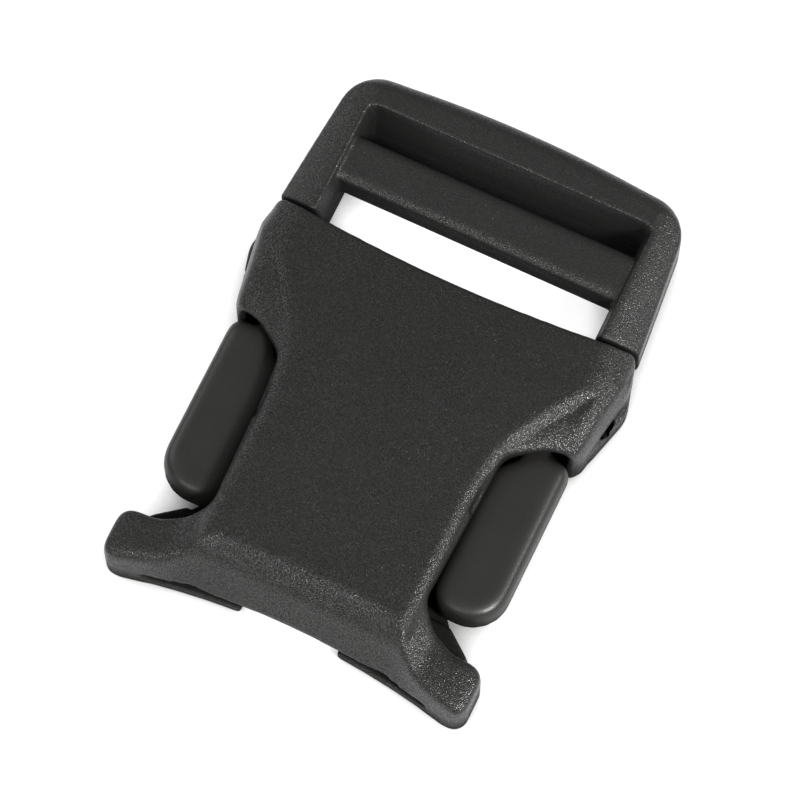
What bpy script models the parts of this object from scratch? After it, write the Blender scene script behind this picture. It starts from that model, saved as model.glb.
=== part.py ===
"""Side-release buckle for 38 mm webbing, with a ladder-lock frame on its male half.

Two mouldings: the female housing, and the male half, whose two latch arms flex inward when
their buttons are pressed. The arms are bodies of their own here, hinged at their roots.
The buckle lies on its back: X across the webbing, Y along it, towards the male half, Z up.
Constants are in millimetres; solid() and block() turn them into metres.
A corner is (x, y, radius). A side list holds the corners of the +X half of an outline.
"""
import math

import bmesh
import bpy
from mathutils import Matrix, Vector

MM = 0.001
GAP = 0.3
ARC_STEPS = 6
EDGE_STEPS = 4
SMOOTH_ANGLE = math.radians(30.0)
BELOW = -1.0
BEYOND = 42.0

# Overall
WEBBING_WIDTH = 38.0
SLOT_HALF = WEBBING_WIDTH / 2 + 0.75
FAR_END_Y = 37.8
PANEL_TOP = 11.4
PANEL_CROWN = 600.0
PARTING = 4.2

# Female housing: plan of the shell
MOUTH_Y = 13.8
MOUTH_BOW = 195.0
SHOULDER_HALF = 25.8
BRIDGE_END_Y = -0.6
WAIST_HALF = 15.1
WAIST_END_Y = -25.6
EAR_HALF = 25.8
EAR_FRONT_Y = -30.5
EAR_END_Y = -37.86
END_Y = -35.25
END_BOW = 105.0
SHELL_SIDE = [
    (SHOULDER_HALF, MOUTH_Y + 1.9, 1.1),
    (SHOULDER_HALF + 1.0, 11.0, 5.0),
    (SHOULDER_HALF - 0.8, 0.6, 1.8),
    (SHOULDER_HALF - 1.8, BRIDGE_END_Y, 1.0),
    (21.0, BRIDGE_END_Y - 0.3, 5.0),
    (WAIST_HALF + 0.9, BRIDGE_END_Y - 3.8, 3.0),
    (WAIST_HALF, WAIST_END_Y, 1.8),
    (WAIST_HALF + 2.1, EAR_FRONT_Y + 2.0, 3.0),
    (20.8, EAR_FRONT_Y, 4.0),
    (EAR_HALF, EAR_FRONT_Y, 2.0),
    (EAR_HALF, EAR_END_Y, 1.9),
]

# Female housing: low flange that swells out under each bridge, its lip, and the web in each ear
FOOT = 0.3
FLANGE = [
    (20.0, 13.6, 0),
    (26.3, 13.6, 1.5),
    (27.4, 9.6, 5.0),
    (25.5, 2.6, 4.0),
    (24.2, 0.4, 1.0),
    (20.0, 0.4, 0),
]
LIP_GAP = [(25.0, 8.4, 0.3), (26.3, 8.0, 1.0), (26.3, 5.8, 2.0), (25.2, 3.8, 0.3), (25.3, 6.0, 2.0)]
LIP_GAP_LOW = PARTING - 1.6
LIP_GAP_HIGH = PARTING + 0.6
EAR_WEB = [
    (13.0, -22.4, 0),
    (15.7, -22.4, 1.0),
    (19.0, -26.5, 5.0),
    (22.9, -29.5, 5.0),
    (24.8, -33.0, 0),
    (13.0, -33.0, 0),
]
EAR_WEB_TOP = PARTING - 0.4

# Female housing: facets of the top, each through three points, and the step down to the ears
BRIDGE_FACET = [(25.2, 10.6, 10.85), (15.4, -3.8, 11.15), (23.2, -0.6, 9.2)]
BRIDGE_FACET_SIDE = [(9.0, -4.6, 0.0), (40.0, 24.0, 30.0)]
FLANK_FACET = [(26.3, 12.5, 9.0), (24.2, -0.6, 9.0), (26.0, -0.6, 3.0)]
FLANK_FACET_SIDE = [(9.0, -3.0, PARTING), (60.0, 12.0, 30.0)]
EAR_TOP = 8.5
EAR_STEP = [
    (WAIST_HALF - 0.1, PANEL_TOP, 0),
    (17.6, EAR_TOP, 0),
    (27.5, EAR_TOP - 0.6, 0),
    (27.5, 14.0, 0),
    (WAIST_HALF - 0.1, 14.0, 0),
]
EAR_STEP_END_Y = -26.6

# Female housing: end face. At each distance from the middle, where its plane meets the top,
# the height of the top there, where the plane would meet the ground, and the radius at the top
SLOPE_TOP_Y = -31.6
SLOPE_FOOT_Y = -37.8
SLOPE_LEAD = 6.0
SLOPE_RISE = 0.2
SLOPE_STEPS = 12
END_FACE = [
    (0.0, SLOPE_TOP_Y, PANEL_TOP, SLOPE_FOOT_Y, 5.5),
    (12.0, SLOPE_TOP_Y, PANEL_TOP, SLOPE_FOOT_Y, 5.5),
    (14.2, -32.0, PANEL_TOP, -37.8, 4.5),
    (15.8, -33.3, 10.4, -37.9, 2.5),
    (17.2, -34.7, 9.4, -38.0, 2.0),
    (18.9, -35.8, 8.8, -38.1, 1.8),
    (21.0, -36.6, 8.5, -38.3, 1.6),
    (23.4, -37.2, 8.3, -38.5, 1.5),
    (28.0, -38.3, 8.1, -38.9, 1.2),
]

# Female housing: the hollow for the male half
FLOOR = 2.0
CEILING = 8.1
CAVITY_HALF = 23.15
BULKHEAD_Y = -26.4
RIB_WIDTH = 1.6
RIB_TOP = 5.0
RIB_END_Y = -4.0

# Female housing: split bar for the sewn strap, and the pocket that the strap turns in
BAR_TOP = 2.0
BAR_BOTTOM = 0.3
BAR_WIDTH = 2.6
BAR_GAP_HALF = 6.9
BAR_SLIT = 1.7
POCKET_HALF = 20.1
POCKET_FRONT_Y = -28.4
POCKET_TOP = 6.4
CORE_HALF = 12.5
CORE_TOP = 8.7
SLOT_LIP = 0.3
END_WALL = 2.2
POCKET_FRONT = [(POCKET_HALF, -32.0, 1.0), (17.0, -31.0, 2.0), (CORE_HALF + 1.0, POCKET_FRONT_Y, 2.0)]

# Male frame
FRAME_HALF = 26.7
RAIL_END = (26.3, MOUTH_Y + 2.4, 1.4)
FRAME_TOP = 10.9
FRAME_BOTTOM = 0.5
FRAME_EDGE = 2.2
FAR_BOW = 180.0
MOUTH_GAP = 0.5
FAR_WALL_TOP_Y = 32.3
FAR_WALL_FOOT_Y = 30.8
FLARE_DEPTH = 3.4
FLARE_WIDTH = 1.3
CROSSBAR_NEAR_Y = 21.0
CROSSBAR_FAR_Y = 27.9
CROSSBAR_TOP = 10.1
CROSSBAR_FOOT = 4.9

# Male frame: base inside the mouth, and the centre prong
INSERT_HALF = CAVITY_HALF - GAP
BASE_SLOT_HALF = SLOT_HALF + 0.4
BASE_ROOT_Y = 18.6
BASE_FAR_Y = 13.3
BASE_NEAR_Y = 11.5
PRONG_HALF = 3.6
PRONG_TIP_Y = -22.0

# Latch arms
ARM_BOTTOM = 2.4
ARM_TOP = 7.8
STRAP_INSET = 0.3
PIVOT_X = 18.0
PIVOT_Y = 11.2
BUTTON_OUTER = 24.4
BUTTON_INNER = 14.7
BUTTON_END_Y = -25.7
CATCH_Y = -1.0
BUTTON_EDGE = 1.5
HEAD = [
    (19.4, CATCH_Y, 1.6),
    (BUTTON_OUTER, CATCH_Y, 1.7),
    (BUTTON_OUTER, BUTTON_END_Y, 5.0),
    (BUTTON_INNER, BUTTON_END_Y, 3.4),
    (BUTTON_INNER, CATCH_Y - 4.5, 3.0),
]
STRAP = [
    (PIVOT_X - 1.5, PIVOT_Y - 0.05, 0.3),
    (PIVOT_X + 1.5, PIVOT_Y - 0.05, 0.3),
    (20.9, CATCH_Y - 1.5, 1.0),
    (20.0, CATCH_Y - 6.0, 1.0),
    (17.0, CATCH_Y - 6.0, 1.0),
    (17.8, CATCH_Y - 0.5, 2.0),
]


def clear_scene():
    for item in list(bpy.data.objects):
        bpy.data.objects.remove(item, do_unlink=True)


def new_collection(name):
    collection = bpy.data.collections.new(name)
    bpy.context.scene.collection.children.link(collection)
    return collection


def plastic(name, color, roughness):
    material = bpy.data.materials.new(name)
    material.use_nodes = True
    shader = material.node_tree.nodes["Principled BSDF"]
    shader.inputs["Base Color"].default_value = (*color, 1.0)
    shader.inputs["Roughness"].default_value = roughness
    shader.inputs["Metallic"].default_value = 0.0
    return material


def rounded(corners, steps=ARC_STEPS):
    """Outline of (x, y) points from corners, each with an arc of its radius."""
    outline = []
    for index, (x, y, radius) in enumerate(corners):
        here = Vector((x, y))
        if radius == 0:
            outline.append(here)
            continue
        before = (Vector(corners[index - 1][:2]) - here).normalized()
        after = (Vector(corners[(index + 1) % len(corners)][:2]) - here).normalized()
        half_angle = before.angle(after) / 2
        reach = radius / math.tan(half_angle)
        centre = here + (before + after).normalized() * radius / math.sin(half_angle)
        start = here + before * reach - centre
        end = here + after * reach - centre
        for step in range(steps + 1):
            outline.append(centre + start.lerp(end, step / steps).normalized() * radius)
    return outline


def mirrored(side):
    """Whole outline from its +X half, listed from one end of the middle line to the other."""
    return side + [(-x, y, radius) for x, y, radius in reversed(side) if x > 0]


def bow(start_x, end_x, middle_y, radius, steps=ARC_STEPS):
    """Corners without radius along a shallow arc through (0, middle_y)."""
    corners = []
    for step in range(steps + 1):
        x = start_x + (end_x - start_x) * step / steps
        corners.append((x, middle_y + x * x / (2 * radius), 0))
    return corners


def placement(along, middle):
    """Matrix that turns an extrusion along Z to one along another axis, centred at middle."""
    if along == "x":
        return Matrix(((0, 0, 1, middle), (1, 0, 0, 0), (0, 1, 0, 0), (0, 0, 0, 1)))
    if along == "y":
        return Matrix(((1, 0, 0, 0), (0, 0, -1, middle), (0, 1, 0, 0), (0, 0, 0, 1)))
    return Matrix.Translation((0.0, 0.0, middle))


def weld(mesh):
    body = bmesh.new()
    body.from_mesh(mesh)
    bmesh.ops.remove_doubles(body, verts=body.verts, dist=0.002 * MM)
    bmesh.ops.recalc_face_normals(body, faces=body.faces)
    body.to_mesh(mesh)
    body.free()


def solid(name, corners, low, high, along="z", edge=0.0):
    """Closed mesh of an outline, extruded from low to high along one axis, with rounded edges."""
    outline = rounded(corners)
    curve = bpy.data.curves.new(name, "CURVE")
    curve.dimensions = "2D"
    curve.fill_mode = "BOTH"
    spline = curve.splines.new("POLY")
    spline.points.add(len(outline) - 1)
    for point, (x, y) in zip(spline.points, outline):
        point.co = (x * MM, y * MM, 0.0, 1.0)
    spline.use_cyclic_u = True
    curve.extrude = ((high - low) / 2 - edge) * MM
    curve.bevel_depth = edge * MM
    curve.bevel_resolution = EDGE_STEPS
    curve.offset = -edge * MM
    source = bpy.data.objects.new(name + "_outline", curve)
    bpy.context.scene.collection.objects.link(source)
    evaluated = source.evaluated_get(bpy.context.evaluated_depsgraph_get())
    mesh = bpy.data.meshes.new_from_object(evaluated)
    mesh.transform(placement(along, (low + high) / 2 * MM))
    bpy.data.objects.remove(source, do_unlink=True)
    weld(mesh)
    return bpy.data.objects.new(name, mesh)


def block(name, low, high):
    """Axis-aligned block between two corners."""
    body = bmesh.new()
    bmesh.ops.create_cube(body, size=1.0)
    size = [(b - a) * MM for a, b in zip(low, high)]
    centre = [(b + a) / 2 * MM for a, b in zip(low, high)]
    bmesh.ops.scale(body, vec=size, verts=body.verts)
    bmesh.ops.translate(body, vec=centre, verts=body.verts)
    mesh = bpy.data.meshes.new(name)
    body.to_mesh(mesh)
    body.free()
    return bpy.data.objects.new(name, mesh)


def combine(target, item, operation):
    """Boolean of target with a hidden operand."""
    cutters.objects.link(item)
    item.hide_render = True
    item.display_type = "WIRE"
    modifier = target.modifiers.new(item.name, "BOOLEAN")
    modifier.operation = operation
    modifier.solver = "EXACT"
    modifier.object = item


def both_sides(target, item, operation):
    """The same Boolean on the +X side and, mirrored, on the -X side."""
    twin = item.data.copy()
    twin.transform(Matrix.Scale(-1.0, 4, (1.0, 0.0, 0.0)))
    twin.flip_normals()
    combine(target, item, operation)
    combine(target, bpy.data.objects.new(item.name + "_mirrored", twin), operation)


def settle(item):
    """Give the item its evaluated mesh in place of its modifiers."""
    bpy.context.scene.collection.objects.link(item)
    evaluated = item.evaluated_get(bpy.context.evaluated_depsgraph_get())
    mesh = bpy.data.meshes.new_from_object(evaluated)
    item.modifiers.clear()
    item.data = mesh
    bpy.context.scene.collection.objects.unlink(item)


def trim(item, keep):
    """Keep only the part of the item that lies inside another solid."""
    combine(item, keep, "INTERSECT")
    settle(item)
    bpy.data.objects.remove(keep, do_unlink=True)


def facet_cutter(name, points, side):
    """Block resting on the plane through three points, to cut away what lies above it on one side."""
    a, b, c = (Vector(point) for point in points)
    along = (b - a).normalized()
    normal = along.cross(c - a).normalized()
    if normal.z < 0:
        normal = -normal
    across = normal.cross(along)
    cutter = block(name, (-30.0, -30.0, 0.0), (30.0, 30.0, 12.0))
    turn = Matrix((along, across, normal)).transposed().to_4x4()
    cutter.data.transform(Matrix.Translation((a + b) / 2 * MM) @ turn)
    trim(cutter, block(name + "_side", *side))
    return cutter


def shell():
    """Full-height shell of the housing, from the bowed mouth to the hollowed end."""
    side = bow(0.0, SHOULDER_HALF - 1.5, MOUTH_Y, MOUTH_BOW) + SHELL_SIDE
    side += bow(23.0, 0.0, END_Y, -END_BOW)
    return solid("female_housing", mirrored(side), 0.0, PANEL_TOP)


def crown():
    """Slightly arched top, as a solid above it."""
    side = [(30.0, PANEL_TOP + 5.0, 0)]
    side += bow(30.0, 0.0, PANEL_TOP, -PANEL_CROWN, 8)
    return solid("crown", mirrored(side), -BEYOND, BEYOND, "y")


def end_profile(top_y, top_z, foot_y, radius):
    """Section of what lies beyond the end face, as a closed outline of (y, z) points."""
    reach = (foot_y - top_y) * (top_z - BELOW) / top_z
    lead = (top_y + SLOPE_LEAD, top_z + SLOPE_RISE, 0)
    face = rounded([lead, (top_y, top_z, radius), (top_y + reach, BELOW, 0)], SLOPE_STEPS)
    return face + [(-BEYOND, BELOW), (-BEYOND, BEYOND), (lead[0], BEYOND)]


def end_slope():
    """Everything beyond the end face, as a solid skinned over sections across the buckle."""
    body = bmesh.new()
    sections = []
    for x, *section in [(-row[0], *row[1:]) for row in END_FACE[:0:-1]] + END_FACE:
        outline = end_profile(*section)
        sections.append([body.verts.new((x * MM, y * MM, z * MM)) for y, z in outline])
    for here, there in zip(sections, sections[1:]):
        for index, corner in enumerate(here):
            body.faces.new((here[index - 1], corner, there[index], there[index - 1]))
    body.faces.new(sections[0])
    body.faces.new(sections[-1])
    bmesh.ops.triangulate(body, faces=body.faces)
    bmesh.ops.recalc_face_normals(body, faces=body.faces)
    mesh = bpy.data.meshes.new("end_slope")
    body.to_mesh(mesh)
    body.free()
    return bpy.data.objects.new("end_slope", mesh)


def strap_slot():
    """Slot through the floor, in front of the split bar, a little smaller than the pocket over it."""
    side = bow(0.0, POCKET_HALF - SLOT_LIP, END_Y + BAR_WIDTH, -END_BOW)
    side += [(x - SLOT_LIP, y - SLOT_LIP, radius) for x, y, radius in POCKET_FRONT]
    return solid("strap_slot", mirrored(side), BELOW, BAR_TOP + BAR_SLIT / 2)


def end_pocket(name, half_width, top, wall):
    """Hollow behind the end face, where the strap turns round the split bar."""
    slope = PANEL_TOP / (SLOPE_TOP_Y - SLOPE_FOOT_Y)
    thickness = wall * math.hypot(1.0, slope) / slope

    def face_at(z):
        return SLOPE_TOP_Y - (PANEL_TOP - z) / slope + thickness

    foot = BAR_TOP + BAR_SLIT / 4
    front = POCKET_FRONT_Y + 1.6
    profile = [(front, foot, 0), (front, top, 0), (face_at(top), top, 0), (face_at(foot), foot, 0)]
    pocket = solid(name, profile, -half_width - 1.0, half_width + 1.0, "x")
    plan = [(half_width, -BEYOND, 0)]
    if half_width < POCKET_HALF:
        plan.append((half_width, POCKET_FRONT_Y - 0.2, 1.0))
    else:
        plan += POCKET_FRONT
    trim(pocket, solid(name + "_plan", mirrored(plan), BELOW, PANEL_TOP))
    return pocket


def cavity():
    """Hollow between floor and panel: the mouth, and the waist that is open at both sides."""
    side = [
        (CAVITY_HALF, 20.0, 0),
        (CAVITY_HALF, BRIDGE_END_Y, 0),
        (30.0, BRIDGE_END_Y, 0),
        (30.0, BULKHEAD_Y, 0),
    ]
    return solid("cavity", mirrored(side), FLOOR, CEILING)


def bar_slits():
    """Slit over each half of the split bar, and the gap between the halves."""
    slit_half = POCKET_HALF + 0.05
    slit_top = BAR_TOP + BAR_SLIT
    side = [
        (slit_half, slit_top, 0),
        (slit_half, BAR_TOP, 0),
        (BAR_GAP_HALF, BAR_TOP, 0),
        (BAR_GAP_HALF, BELOW, 0),
    ]
    return solid("bar_slits", mirrored(side), -BEYOND, END_Y + BAR_WIDTH + 0.2, "y")


def bar_relief():
    """Recess under half of the split bar, so that the strap around it stays off the ground."""
    low = (BAR_GAP_HALF - 0.4, -BEYOND, BELOW)
    return block("bar_relief", low, (POCKET_HALF - SLOT_LIP - 0.2, END_Y + BAR_WIDTH + 0.1, BAR_BOTTOM))


def guide_rib():
    """Rib on the floor beside the male half's prong."""
    inner = PRONG_HALF + 0.4
    return block("rib", (inner, BULKHEAD_Y - 1.0, FLOOR - 1.0), (inner + RIB_WIDTH, RIB_END_Y, RIB_TOP))


def female_housing():
    housing = shell()
    combine(housing, crown(), "DIFFERENCE")
    both_sides(housing, facet_cutter("bridge_facet", BRIDGE_FACET, BRIDGE_FACET_SIDE), "DIFFERENCE")
    both_sides(housing, facet_cutter("flank_facet", FLANK_FACET, FLANK_FACET_SIDE), "DIFFERENCE")
    both_sides(housing, solid("flange", FLANGE, FOOT, PARTING), "UNION")
    both_sides(housing, solid("ear_web", EAR_WEB, FOOT, EAR_WEB_TOP), "UNION")
    both_sides(housing, solid("lip_gap", LIP_GAP, LIP_GAP_LOW, LIP_GAP_HIGH), "DIFFERENCE")
    both_sides(housing, solid("ear_step", EAR_STEP, -BEYOND, EAR_STEP_END_Y, "y"), "DIFFERENCE")
    combine(housing, end_slope(), "DIFFERENCE")
    combine(housing, cavity(), "DIFFERENCE")
    both_sides(housing, guide_rib(), "UNION")
    combine(housing, strap_slot(), "DIFFERENCE")
    combine(housing, end_pocket("end_pocket", POCKET_HALF, POCKET_TOP, END_WALL), "DIFFERENCE")
    combine(housing, end_pocket("end_core", CORE_HALF, CORE_TOP, END_WALL + 0.2), "DIFFERENCE")
    combine(housing, bar_slits(), "DIFFERENCE")
    both_sides(housing, bar_relief(), "DIFFERENCE")
    return housing


def frame_blank():
    """Block of the web frame with rounded edges, squared off where it faces the mouth."""
    side = bow(0.0, 16.5, FAR_END_Y, -FAR_BOW) + [(24.1, 36.5, 5.5), (FRAME_HALF, 8.0, 2.5)]
    blank = solid("male_frame", mirrored(side), FRAME_BOTTOM, FRAME_TOP, edge=FRAME_EDGE)
    front = [(30.0, BEYOND, 0), (30.0, MOUTH_Y + 4.6, 0), RAIL_END]
    front += bow(SHOULDER_HALF - 2.5, 0.0, MOUTH_Y + MOUTH_GAP, MOUTH_BOW)
    trim(blank, solid("mouth_trim", mirrored(front), BELOW, FRAME_TOP + 1.0))
    return blank


def web_window():
    """Opening of the web frame, whose far wall leans over the slot."""
    near = BASE_FAR_Y - 2.0
    top = FRAME_TOP + 0.2
    profile = [(near, BELOW, 0), (FAR_WALL_FOOT_Y, BELOW, 0), (FAR_WALL_TOP_Y, top, 0), (near, top, 0)]
    return solid("window", profile, -SLOT_HALF, SLOT_HALF, "x")


def flare():
    """Chamfer along the inner edge of both side rails."""
    foot = SLOT_HALF - 0.3
    side = [(foot, FRAME_TOP - FLARE_DEPTH, 0), (foot + FLARE_WIDTH, FRAME_TOP + 0.6, 0)]
    return solid("flare", mirrored(side), BASE_FAR_Y - 2.5, FAR_WALL_TOP_Y - 0.4, "y")


def crossbar():
    profile = [
        (CROSSBAR_NEAR_Y, CROSSBAR_FOOT, 0.8),
        (CROSSBAR_FAR_Y, CROSSBAR_FOOT, 0.8),
        (CROSSBAR_FAR_Y, CROSSBAR_TOP, 1.2),
        (CROSSBAR_NEAR_Y, CROSSBAR_TOP, 0.5),
    ]
    return solid("crossbar", profile, -SLOT_HALF - 1.0, SLOT_HALF + 1.0, "x")


def insert():
    """Base that slides into the mouth between the side rails, with the centre prong."""
    side = [
        (BASE_SLOT_HALF, BASE_FAR_Y, 1.4),
        (BASE_SLOT_HALF, BASE_ROOT_Y, 0),
        (INSERT_HALF, BASE_ROOT_Y, 0),
        (INSERT_HALF, BASE_NEAR_Y + 0.4, 0.6),
        (PIVOT_X - 3.0, BASE_NEAR_Y, 1.5),
        (PRONG_HALF + 2.6, BASE_NEAR_Y - 1.6, 3.0),
        (PRONG_HALF, BASE_NEAR_Y - 6.0, 3.0),
        (PRONG_HALF, PRONG_TIP_Y, 1.8),
    ]
    return solid("insert", mirrored(side), ARM_BOTTOM, ARM_TOP)


def male_frame():
    frame = frame_blank()
    combine(frame, web_window(), "DIFFERENCE")
    combine(frame, flare(), "DIFFERENCE")
    combine(frame, crossbar(), "UNION")
    combine(frame, insert(), "UNION")
    return frame


def latch_arm(name, side):
    """Flexing strap and its button head; side is 1 for +X and -1 for -X."""
    head = [(side * x, y, radius) for x, y, radius in HEAD]
    strap = [(side * x, y, radius) for x, y, radius in STRAP]
    arm = solid(name, head, ARM_BOTTOM, ARM_TOP, edge=BUTTON_EDGE)
    flexure = solid(name + "_strap", strap, ARM_BOTTOM + STRAP_INSET, ARM_TOP - STRAP_INSET)
    combine(arm, flexure, "UNION")
    return arm


def put_pivot(name, parent, location):
    pivot = bpy.data.objects.new(name, None)
    pivot.empty_display_size = 5 * MM
    buckle.objects.link(pivot)
    pivot.parent = parent
    pivot.location = location
    return pivot


def hang_on(item, pivot, origin, material):
    """Finish the piece, put its origin on the joint axis, and parent it to the pivot there."""
    settle(item)
    item.data.shade_smooth()
    item.data.set_sharp_from_angle(angle=SMOOTH_ANGLE)
    item.data.materials.append(material)
    item.data.transform(Matrix.Translation(-origin))
    item.parent = pivot
    buckle.objects.link(item)


def build():
    rest = Vector((0.0, 0.0, 0.0))
    hang_on(female_housing(), None, rest, plastic("housing_plastic", (0.022, 0.022, 0.024), 0.52))
    slide = put_pivot("male_slide", None, rest)
    hang_on(male_frame(), slide, rest, plastic("frame_plastic", (0.026, 0.026, 0.028), 0.5))
    for name, side in (("right_latch_arm", 1), ("left_latch_arm", -1)):
        origin = Vector((side * PIVOT_X, PIVOT_Y, (ARM_BOTTOM + ARM_TOP) / 2)) * MM
        pivot = put_pivot(name + "_pivot", slide, origin)
        hang_on(latch_arm(name, side), pivot, origin, plastic(name + "_plastic", (0.018, 0.018, 0.02), 0.36))


clear_scene()
buckle = new_collection("side_release_buckle")
cutters = new_collection("cutters")
build()
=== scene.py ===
"""Looks of the side-release buckle: rounded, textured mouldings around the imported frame.

Each CAD node is remeshed finely, its top is reshaped, its edges are softened as a mould leaves
them, and it gets a procedural plastic. Shapes are worked out in millimetres.
"""
import math

import bmesh
import bpy
import numpy as np
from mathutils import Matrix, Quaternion, Vector

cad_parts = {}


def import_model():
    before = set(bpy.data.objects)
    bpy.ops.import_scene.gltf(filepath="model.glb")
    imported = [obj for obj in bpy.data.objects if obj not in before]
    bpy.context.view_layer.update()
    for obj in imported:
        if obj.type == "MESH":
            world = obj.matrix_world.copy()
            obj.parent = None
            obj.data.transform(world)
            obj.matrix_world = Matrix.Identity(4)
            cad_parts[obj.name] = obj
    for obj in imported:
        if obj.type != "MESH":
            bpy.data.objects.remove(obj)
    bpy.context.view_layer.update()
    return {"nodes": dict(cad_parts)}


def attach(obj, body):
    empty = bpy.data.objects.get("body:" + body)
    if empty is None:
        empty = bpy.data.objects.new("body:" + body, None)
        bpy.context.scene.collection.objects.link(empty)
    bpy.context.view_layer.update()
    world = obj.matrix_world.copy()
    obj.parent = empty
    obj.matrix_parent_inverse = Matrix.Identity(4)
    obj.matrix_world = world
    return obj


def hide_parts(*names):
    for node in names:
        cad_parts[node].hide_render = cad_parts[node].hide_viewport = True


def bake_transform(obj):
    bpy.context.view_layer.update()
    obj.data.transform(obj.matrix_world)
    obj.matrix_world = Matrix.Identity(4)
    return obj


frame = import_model()

MM = 0.001
VOXEL = 0.19
FINE_VOXEL = 0.16
KEEP_SHARE = 0.35
WELD_DISTANCE = 0.001

# Only points above this height belong to an upper surface that is reshaped
UPPER_FROM = 5.2

# Housing panel: a slightly crowned plane with a rolled edge, between two creases and the waist
PANEL_TOP = 11.4
PANEL_CROWN = 1200.0
CREASE_FAR = (25.2, 10.6)
CREASE_NEAR = (15.4, -3.8)
WAIST = 15.1
BEND_BLEND = 5.0
ROLL_DROP = 1.0
ROLL_WIDTH = 1.9
ROLL_ARC = 0.92
ROLL_ARC_DEPTH = 0.72
ROLL_FADE = (21.5, 25.5)

# Housing bridges: below the panel, and curving down further away from the crease
BRIDGE_DROP = 0.85
BRIDGE_CURVE = 0.065
BRIDGE_NEAR_Y = -13.15

# Housing ears: a steep wall beside the waist, down to a gently sloping top
EAR_WALL_SLOPE = 1.115
EAR_TIP = 27.5
EAR_TIP_TOP = 7.5
EAR_SLOPE = 0.15

# Housing shoulders: the upper surface curves down to the outline, whose half width goes with y
SHOULDER_NEAR_Y = -1.5
SHOULDER_WIDTH = 5.5
SHOULDER_DROP = 1.6
SHOULDER_RADIUS = 1.2
SHOULDER_OUTLINE_Y = (-0.6, 0.6, 10.6, 13.8)
SHOULDER_OUTLINE_X = (24.6, 25.2, 26.4, 26.0)

# Web frame: the side rails roll off outwards, and the crossbar has rounded edges
RAIL_INNER = 20.2
RAIL_TILT = 0.12
RAIL_CURVE = 0.062
RAIL_TOP = 10.9
BAR_TOP = 10.1
BAR_FAR_Y = 27.9
BAR_NEAR_Y = 21.0
BAR_EDGE = 1.5
BAR_EDGE_DROP = 0.6
BAR_MARGIN = 0.5
BAR_END_GAP = 0.6

# Web frame: the foot of the far wall of the far slot reaches into the slot
TOE_HALF_WIDTH = 19.9
TOE_FROM_Y = 29.8
TOE_TO_Y = 32.5
TOE_REACH = 0.8

# Radii that relax() rounds edges off to
HOUSING_RADIUS = 0.35
FRAME_RADIUS = 0.4
LATCH_RADIUS = 0.3
SOFT_RADIUS = 1.0

# Marks that moulding leaves
PIN_RADIUS = 1.6
PIN_DEPTH = 0.12
PIN_EDGE = 0.25
GATE_RADIUS = 0.9
GATE_FLOOR_RADIUS = 0.4
GATE_DEPTH = 0.3
HOUSING_PINS = [(8.0, -14.0), (8.0, 4.0)]
HOUSING_GATE = (0.0, -6.0)
LINE_WIDTH = 0.3
LINE_DEPTH = 0.12
BUTTON_LINE = 4.2
RAIL_LINE = 3.4

# Plastic: sizes of its pattern. Crevices get painted shade, a darker colour and a weaker
# reflection, and are less glossy, up to this reach.
GRAIN_TURN = (0.61, 0.47, 0.35)
WAVE_SIZE = 2.2
WAVE_DEPTH = 0.01
PATCH_SIZE = 6.0
CAVITY_REACH = 12.0
OCCLUSION_SAMPLES = 8

# Floor: paper that glows, a painted light, and is overexposed away from the buckle; close to it
# the glow fades, a painted contact shadow
PAPER_TONE = 0.22
PAPER_PAINTED_GLOW = 0.95
PAPER_SHADE_REACH = 5.5
FIBRE_SIZE = 0.8
FIBRE_DEPTH = 0.02
FLOOR_HALF_SIZE = 1.5

# Brightness of the studio's walls and ceiling, by the height of the direction
SKY = [(0.0, 0.75), (0.12, 0.5), (0.3, 0.18), (0.62, 0.2), (0.85, 0.33), (1.0, 0.36)]

# Lamps: name, direction from the buckle, side of the square in metres, watts
LAMP_DISTANCE = 0.6
LAMP_COLOR = (0.97, 0.965, 0.955)
LAMPS = [
    ("right_softbox", (0.76, 0.28, 0.59), 0.16, 1.0),
    ("front_softbox", (-0.2, -0.68, 0.7), 0.16, 1.5),
    ("corner_softbox", (0.64, -0.28, 0.71), 0.11, 5.5),
    ("left_softbox", (-0.8, 0.1, 0.6), 0.3, 0.95),
]

# Camera: a long lens, nearly overhead. Angles in degrees, lens and sensor in millimetres.
CAMERA_AZIMUTH = 25.20
CAMERA_ELEVATION = 71.40
CAMERA_ROLL = 0.24
CAMERA_DISTANCE = 584.9
CAMERA_AIM = (-0.034, -1.75, 5.0)
LENS = 202.05
SENSOR = 36.0


# ---------------------------------------------------------------- numbers on meshes
def smooth_min(a, b, k):
    """The smaller of a and b, blended where they are closer than k."""
    h = np.maximum(k - np.abs(a - b), 0.0) / k
    return np.minimum(a, b) - h * h * k / 4.0


def ramp(x, low, high):
    """0 below low, 1 above high, smooth between."""
    t = np.clip((x - low) / (high - low), 0.0, 1.0)
    return t * t * (3.0 - 2.0 * t)


def points_of(mesh):
    """The mesh's vertices in millimetres, one row each."""
    co = np.empty(len(mesh.vertices) * 3)
    mesh.vertices.foreach_get("co", co)
    return co.reshape(-1, 3) / MM


def set_points(mesh, points):
    mesh.vertices.foreach_set("co", (points * MM).ravel())
    mesh.update()


def normals_of(mesh):
    normals = np.empty(len(mesh.vertices) * 3)
    mesh.vertex_normals.foreach_get("vector", normals)
    return normals.reshape(-1, 3)


def edges_of(mesh):
    pairs = np.empty(len(mesh.edges) * 2, dtype=np.int64)
    mesh.edges.foreach_get("vertices", pairs)
    return pairs.reshape(-1, 2)


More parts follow.
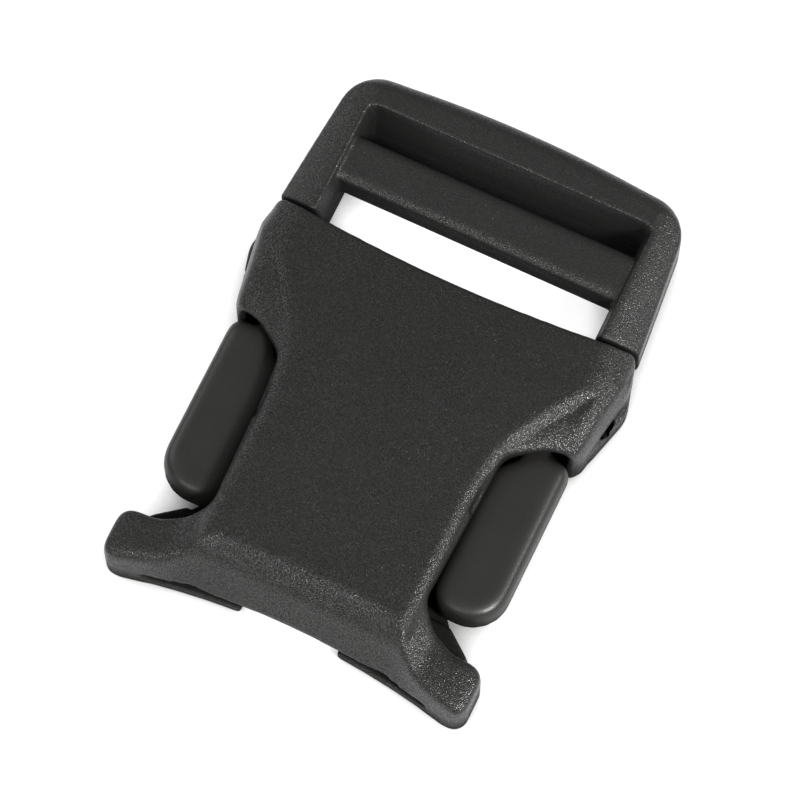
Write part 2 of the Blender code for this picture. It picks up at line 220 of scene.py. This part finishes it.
def relax(mesh, rounds, weight=1.0):
    """Average each point with its neighbours, rounds times, which rounds every edge off."""
    points = points_of(mesh)
    pairs = edges_of(mesh)
    count = len(points)
    degree = np.bincount(pairs.ravel(), minlength=count).astype(float)
    step = 0.5 * np.broadcast_to(weight, (count,))[:, None]
    for _ in range(rounds):
        total = np.empty_like(points)
        for axis in range(3):
            values = points[:, axis]
            total[:, axis] = np.bincount(pairs[:, 0], values[pairs[:, 1]], count)
            total[:, axis] += np.bincount(pairs[:, 1], values[pairs[:, 0]], count)
        points += step * (total / degree[:, None] - points)
    set_points(mesh, points)


def rounds_for(radius, voxel):
    """How many rounds of relax() round an edge off to about this radius."""
    return max(1, round(2.2 * (radius / voxel) ** 2))


# ---------------------------------------------------------------- making pieces
def link(name, data):
    """A new object with this name and data, in the scene."""
    item = bpy.data.objects.new(name, data)
    bpy.context.scene.collection.objects.link(item)
    return item


def evaluated(item, kind, **settings):
    """The item with one modifier applied."""
    modifier = item.modifiers.new(kind.lower(), kind)
    for key, value in settings.items():
        setattr(modifier, key, value)
    bpy.context.view_layer.update()
    result = item.evaluated_get(bpy.context.evaluated_depsgraph_get())
    mesh = bpy.data.meshes.new_from_object(result)
    item.modifiers.clear()
    item.data = mesh
    return item


def remesh(item, voxel):
    return evaluated(item, "REMESH", mode="VOXEL", voxel_size=voxel * MM, adaptivity=0.0)


def copy_of(name, node):
    """A welded copy of a CAD node's mesh, as a new object."""
    body = bmesh.new()
    body.from_mesh(frame["nodes"][node].data)
    bmesh.ops.remove_doubles(body, verts=body.verts, dist=WELD_DISTANCE * MM)
    mesh = bpy.data.meshes.new(name)
    body.to_mesh(mesh)
    body.free()
    return link(name, mesh)


def finish_mesh(item):
    evaluated(item, "DECIMATE", decimate_type="COLLAPSE", ratio=KEEP_SHARE)
    item.data.shade_smooth()


def back_marks(mesh, pins, gate):
    """Round ejector-pin marks and a deeper gate dimple in the face that lies on the floor."""
    points = points_of(mesh)
    x, y, z = points.T
    under = 1.0 - ramp(z, 0.6, 1.2)
    for middle_x, middle_y in pins:
        away = np.hypot(np.abs(x) - middle_x, y - middle_y)
        inside = 1.0 - ramp(away, PIN_RADIUS - PIN_EDGE, PIN_RADIUS)
        points[:, 2] += PIN_DEPTH * under * inside
    away = np.hypot(x - gate[0], y - gate[1])
    points[:, 2] += GATE_DEPTH * under * (1.0 - ramp(away, GATE_FLOOR_RADIUS, GATE_RADIUS))
    set_points(mesh, points)


def parting_line(mesh, height):
    """A fine groove round the upright walls, where the two halves of the mould met."""
    points = points_of(mesh)
    normals = normals_of(mesh)
    near = np.clip(1.0 - np.abs(points[:, 2] - height) / LINE_WIDTH, 0.0, 1.0)
    upright = 1.0 - ramp(np.abs(normals[:, 2]), 0.3, 0.7)
    points -= (LINE_DEPTH * near * upright)[:, None] * normals
    set_points(mesh, points)


# ---------------------------------------------------------------- female housing
def inside_crease(x, y):
    """Distance from the crease between panel and bridge, positive on the panel's side."""
    far, near = np.array(CREASE_FAR), np.array(CREASE_NEAR)
    along = (far - near) / np.linalg.norm(far - near)
    return (y - near[1]) * along[0] - (x - near[0]) * along[1]


def housing_top(x, y):
    """Height of the housing's upper surface over (x, y), where the CAD's own isn't lower."""
    x = np.abs(x)
    crown = PANEL_TOP - x * x / PANEL_CROWN
    crease = inside_crease(x, y)
    waist = WAIST - x
    border = -smooth_min(-crease, -waist, BEND_BLEND)
    inward = np.clip(1.0 - border / ROLL_WIDTH, 0.0, 1.0)
    roll = ROLL_DROP * (1.0 - np.sqrt(1.0 - ROLL_ARC * inward * inward)) / ROLL_ARC_DEPTH
    fade = 1.0 - ramp(x, *ROLL_FADE) * (y > 0)
    panel = crown - roll * fade
    beyond = np.maximum(-crease, 0.0)
    bridge = crown - (BRIDGE_DROP * fade + BRIDGE_CURVE * beyond * beyond)
    ear = crown - ROLL_DROP - EAR_WALL_SLOPE * np.maximum(-waist, 0.0)
    ear = np.maximum(ear, EAR_TIP_TOP + EAR_SLOPE * (EAR_TIP - x))
    height = np.where(border > 0, panel, np.where(y > BRIDGE_NEAR_Y, bridge, ear))

    inset = np.maximum(np.interp(y, SHOULDER_OUTLINE_Y, SHOULDER_OUTLINE_X) - x, 0.0)
    shoulder = crown - SHOULDER_DROP * np.clip(1.0 - inset / SHOULDER_WIDTH, 0.0, 1.0) ** 2
    edge = np.clip(1.0 - inset / SHOULDER_RADIUS, 0.0, 1.0)
    shoulder = shoulder - SHOULDER_RADIUS * (1.0 - np.sqrt(1.0 - edge * edge))
    return np.where(y > SHOULDER_NEAR_Y, np.minimum(height, shoulder), height)


def housing():
    item = remesh(copy_of("housing_body", "female_housing"), VOXEL)
    points = points_of(item.data)
    x, y, z = points.T
    points[:, 2] = np.where(z > UPPER_FROM, np.minimum(z, housing_top(x, y)), z)
    set_points(item.data, points)
    remesh(item, FINE_VOXEL)

    points = points_of(item.data)
    x, y, z = np.abs(points[:, 0]), points[:, 1], points[:, 2]
    bridge = ramp(-inside_crease(x, y), 0.6, 1.8)
    bridge = bridge * ramp(y, -5.0, -3.5) * (1.0 - ramp(y, 11.5, 13.0))
    ear = ramp(x, 14.6, 15.8) * (1.0 - ramp(y, -25.0, -23.0))
    soft = np.maximum(bridge, ear) * ramp(z, 5.5, 7.0)
    relax(item.data, rounds_for(SOFT_RADIUS, FINE_VOXEL), soft)
    relax(item.data, rounds_for(HOUSING_RADIUS, FINE_VOXEL))
    back_marks(item.data, HOUSING_PINS, HOUSING_GATE)
    finish_mesh(item)
    return item


# ---------------------------------------------------------------- male half
def frame_top(x, y):
    """Height of the web frame's upper surface over (x, y), where the CAD's own isn't lower."""
    beyond = np.maximum(np.abs(x) - RAIL_INNER, 0.0)
    rail = RAIL_TOP - RAIL_TILT * beyond - RAIL_CURVE * beyond * beyond
    far = np.clip((y - BAR_FAR_Y) / BAR_EDGE + 1.0, 0.0, 1.0)
    near = np.clip((BAR_NEAR_Y - y) / BAR_EDGE + 1.0, 0.0, 1.0)
    bar = BAR_TOP - BAR_EDGE_DROP * far * far - BAR_EDGE_DROP * near * near
    on_bar = np.abs(x) < RAIL_INNER - BAR_END_GAP
    on_bar = on_bar & (y < BAR_FAR_Y + BAR_MARGIN) & (y > BAR_NEAR_Y - BAR_MARGIN)
    return np.where(on_bar, bar, rail)


def web_frame():
    item = remesh(copy_of("web_frame", "male_frame"), FINE_VOXEL)
    points = points_of(item.data)
    x, y, z = points.T
    toe = (np.abs(x) < TOE_HALF_WIDTH) & (y > TOE_FROM_Y) & (y < TOE_TO_Y)
    points[:, 1] -= np.where(toe, TOE_REACH * (1.0 - ramp(z, 0.8, 3.0)), 0.0)
    points[:, 2] = np.where(z > UPPER_FROM, np.minimum(z, frame_top(x, y)), z)
    set_points(item.data, points)
    remesh(item, FINE_VOXEL)
    relax(item.data, rounds_for(FRAME_RADIUS, FINE_VOXEL))
    parting_line(item.data, RAIL_LINE)
    finish_mesh(item)
    return item


def latch(name, node):
    item = remesh(copy_of(name, node), FINE_VOXEL)
    points = points_of(item.data)
    top = ramp(points[:, 2], 5.0, 6.4) * (1.0 - ramp(points[:, 1], -2.0, 0.0))
    relax(item.data, rounds_for(SOFT_RADIUS, FINE_VOXEL), top)
    relax(item.data, rounds_for(LATCH_RADIUS, FINE_VOXEL))
    parting_line(item.data, BUTTON_LINE)
    finish_mesh(item)
    return item


# ---------------------------------------------------------------- materials
def nodes_of(material):
    material.use_nodes = True
    tree = material.node_tree
    return tree, tree.nodes["Principled BSDF"]


def noise(tree, coordinates, size, detail=2.0, roughness=0.5):
    """Noise whose largest features are about size millimetres."""
    node = tree.nodes.new("ShaderNodeTexNoise")
    node.inputs["Scale"].default_value = 1.0 / (size * MM)
    node.inputs["Detail"].default_value = detail
    node.inputs["Roughness"].default_value = roughness
    tree.links.new(coordinates, node.inputs["Vector"])
    return node.outputs["Fac"]


def cells(tree, coordinates, scale):
    """Distance from the middle of the nearest of many small cells."""
    node = tree.nodes.new("ShaderNodeTexVoronoi")
    node.inputs["Scale"].default_value = scale
    tree.links.new(coordinates, node.inputs["Vector"])
    return node.outputs["Distance"]


def occlusion(tree, reach):
    """How open the surroundings are: 1 on an open surface, less in a crevice."""
    node = tree.nodes.new("ShaderNodeAmbientOcclusion")
    node.inputs["Distance"].default_value = reach * MM
    node.samples = OCCLUSION_SAMPLES
    return node.outputs["AO"]


def mapped(tree, value, low, high, to_low, to_high):
    """The value's range low to high, turned into to_low to to_high and held there beyond it."""
    node = tree.nodes.new("ShaderNodeMapRange")
    node.inputs["From Min"].default_value = low
    node.inputs["From Max"].default_value = high
    node.inputs["To Min"].default_value = to_low
    node.inputs["To Max"].default_value = to_high
    tree.links.new(value, node.inputs["Value"])
    return node.outputs["Result"]


def math_node(tree, operation, first, second):
    node = tree.nodes.new("ShaderNodeMath")
    node.operation = operation
    tree.links.new(first, node.inputs[0])
    tree.links.new(second, node.inputs[1])
    return node.outputs["Value"]


def bump(tree, height, strength, distance, normal=None):
    node = tree.nodes.new("ShaderNodeBump")
    node.inputs["Strength"].default_value = strength
    node.inputs["Distance"].default_value = distance * MM
    tree.links.new(height, node.inputs["Height"])
    if normal:
        tree.links.new(normal, node.inputs["Normal"])
    return node.outputs["Normal"]


def moulded_plastic(name, color, roughness, grain_size, grain_depth, speckle):
    """Black plastic with a spark-eroded grain, uneven gloss, less glossy crevices with painted
    shade, and worn edges.

    The coordinates are turned, because noise cut along its own grid shows smooth patches.
    """
    material = bpy.data.materials.new(name)
    tree, shader = nodes_of(material)
    turned = tree.nodes.new("ShaderNodeMapping")
    turned.inputs["Rotation"].default_value = GRAIN_TURN
    source = tree.nodes.new("ShaderNodeTexCoord").outputs["Object"]
    tree.links.new(source, turned.inputs["Vector"])
    coordinates = turned.outputs["Vector"]

    # Grain: pebbles over fine noise, on long shallow waves
    pebbles = cells(tree, coordinates, 1.0 / (grain_size * MM))
    grain = noise(tree, coordinates, grain_size, 2.0, 0.6)
    normal = bump(tree, math_node(tree, "SUBTRACT", grain, pebbles), 1.0, grain_depth)
    waves = noise(tree, coordinates, WAVE_SIZE, 3.0)
    normal = bump(tree, waves, 0.25, WAVE_DEPTH, normal)
    tree.links.new(normal, shader.inputs["Normal"])

    # Gloss: differs from facet to facet and slightly in patches, higher on edges
    facets = cells(tree, coordinates, 0.9 / (grain_size * MM))
    patches = noise(tree, coordinates, PATCH_SIZE, 4.0)
    edges = tree.nodes.new("ShaderNodeNewGeometry").outputs["Pointiness"]
    open_air = occlusion(tree, CAVITY_REACH)
    gloss = mapped(tree, facets, 0.15, 0.65, roughness - speckle, roughness + speckle)
    gloss = math_node(tree, "ADD", gloss, mapped(tree, patches, 0.3, 0.7, -0.03, 0.03))
    gloss = math_node(tree, "SUBTRACT", gloss, mapped(tree, edges, 0.515, 0.56, 0.0, 0.05))
    gloss = math_node(tree, "ADD", gloss, mapped(tree, open_air, 0.5, 0.9, 0.5, 0.0))
    tree.links.new(gloss, shader.inputs["Roughness"])
    # Painted shade: the specular level drops in crevices, where the occlusion is low, so they
    # reflect less light
    level = mapped(tree, open_air, 0.5, 0.95, 0.03, 0.42)
    glint = mapped(tree, facets, 0.15, 0.65, 1.0 + 7.0 * speckle, 1.0 - 5.0 * speckle)
    glint = math_node(tree, "MULTIPLY", level, glint)
    tree.links.new(glint, shader.inputs["Specular IOR Level"])

    # Colour: lighter on the pebbles' tops; darker in crevices, which is painted shade where the
    # surroundings close in
    tone = tree.nodes.new("ShaderNodeMix")
    tone.data_type = "RGBA"
    tone.inputs["A"].default_value = (*[c * (1.0 - 2.0 * speckle) for c in color], 1.0)
    tone.inputs["B"].default_value = (*[c * (1.0 + 3.0 * speckle) for c in color], 1.0)
    speck = mapped(tree, pebbles, 0.1, 0.75, 1.0, 0.0)
    # Painted shade: the occlusion pulls the colour towards the darker tone in crevices
    painted_crevice_shade = mapped(tree, open_air, 0.5, 0.92, 0.05, 1.0)
    tree.links.new(math_node(tree, "MULTIPLY", speck, painted_crevice_shade), tone.inputs["Factor"])
    tree.links.new(tone.outputs["Result"], shader.inputs["Base Color"])
    return material


def floor_material():
    material = bpy.data.materials.new("paper")
    tree, shader = nodes_of(material)
    shader.inputs["Base Color"].default_value = (PAPER_TONE, PAPER_TONE, PAPER_TONE, 1.0)
    shader.inputs["Roughness"].default_value = 0.9
    shader.inputs["Emission Color"].default_value = (1.0, 1.0, 1.0, 1.0)
    # Painted light and shadow: the floor glows, and the glow fades where the occlusion finds
    # the buckle close
    painted_glow_and_shadow = mapped(tree, occlusion(tree, PAPER_SHADE_REACH), 0.3, 0.72, 0.0, PAPER_PAINTED_GLOW)
    tree.links.new(painted_glow_and_shadow, shader.inputs["Emission Strength"])
    coordinates = tree.nodes.new("ShaderNodeTexCoord").outputs["Object"]
    fibres = noise(tree, coordinates, FIBRE_SIZE, 4.0)
    tree.links.new(bump(tree, fibres, 0.1, FIBRE_DEPTH), shader.inputs["Normal"])
    return material


def give(item, material):
    item.data.materials.clear()
    item.data.materials.append(material)


# ---------------------------------------------------------------- studio
def world():
    """Bright all round at the horizon, dark above it and dim overhead."""
    sky = bpy.data.worlds.new("studio")
    bpy.context.scene.world = sky
    sky.use_nodes = True
    tree = sky.node_tree
    backdrop = tree.nodes["Background"]
    direction = tree.nodes.new("ShaderNodeTexCoord").outputs["Generated"]
    split = tree.nodes.new("ShaderNodeSeparateXYZ")
    tree.links.new(direction, split.inputs["Vector"])
    levels = tree.nodes.new("ShaderNodeValToRGB")
    for place, level in SKY[1:-1]:
        levels.color_ramp.elements.new(place)
    for stop, (place, level) in zip(levels.color_ramp.elements, SKY):
        stop.position = place
        stop.color = (level, level, level, 1.0)
    tree.links.new(split.outputs["Z"], levels.inputs["Fac"])
    tree.links.new(levels.outputs["Color"], backdrop.inputs["Color"])
    backdrop.inputs["Strength"].default_value = 1.0


def area_light(name, direction, size, power):
    """A square lamp that faces the buckle from this direction."""
    lamp = bpy.data.lights.new(name, "AREA")
    lamp.shape = "SQUARE"
    lamp.size = size
    lamp.energy = power
    lamp.color = LAMP_COLOR
    item = link(name, lamp)
    offset = Vector(direction).normalized()
    item.location = offset * LAMP_DISTANCE
    item.rotation_euler = offset.to_track_quat("Z", "Y").to_euler()


def camera():
    azimuth, elevation = math.radians(CAMERA_AZIMUTH), math.radians(CAMERA_ELEVATION)
    back = Vector((
        math.sin(azimuth) * math.cos(elevation),
        -math.cos(azimuth) * math.cos(elevation),
        math.sin(elevation),
    ))
    lens = bpy.data.cameras.new("camera")
    lens.lens = LENS
    lens.sensor_width = SENSOR
    lens.clip_start = 0.01
    item = link("camera", lens)
    item.location = Vector(CAMERA_AIM) * MM + back * CAMERA_DISTANCE * MM
    roll = Quaternion((0.0, 0.0, 1.0), math.radians(CAMERA_ROLL))
    item.rotation_euler = (back.to_track_quat("Z", "Y") @ roll).to_euler()
    bpy.context.scene.camera = item


def studio():
    body = bmesh.new()
    bmesh.ops.create_grid(body, x_segments=8, y_segments=8, size=FLOOR_HALF_SIZE)
    mesh = bpy.data.meshes.new("floor")
    body.to_mesh(mesh)
    body.free()
    floor = link("floor", mesh)
    give(floor, floor_material())
    world()
    for name, direction, size, power in LAMPS:
        area_light(name, direction, size, power)
    camera()
    bpy.context.scene.view_settings.view_transform = "Standard"


# ---------------------------------------------------------------- the buckle
def build():
    textured = moulded_plastic(
        "housing_plastic", (0.0100, 0.0097, 0.0094),
        roughness=0.25, grain_size=0.16, grain_depth=0.045, speckle=0.11,
    )
    framed = moulded_plastic(
        "frame_plastic", (0.0130, 0.0127, 0.0124),
        roughness=0.28, grain_size=0.16, grain_depth=0.04, speckle=0.10,
    )
    satin = moulded_plastic(
        "latch_plastic", (0.0110, 0.0107, 0.0102),
        roughness=0.40, grain_size=0.2, grain_depth=0.006, speckle=0.02,
    )

    shell = housing()
    give(shell, textured)
    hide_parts("female_housing")
    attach(shell, "female_half")

    rails = web_frame()
    give(rails, framed)
    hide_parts("male_frame")
    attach(rails, "male_half")

    for side, mirror in (("right", 1.0), ("left", -1.0)):
        arm = latch(side + "_latch", side + "_latch_arm")
        give(arm, satin)
        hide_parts(side + "_latch_arm")
        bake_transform(arm)


studio()
build()
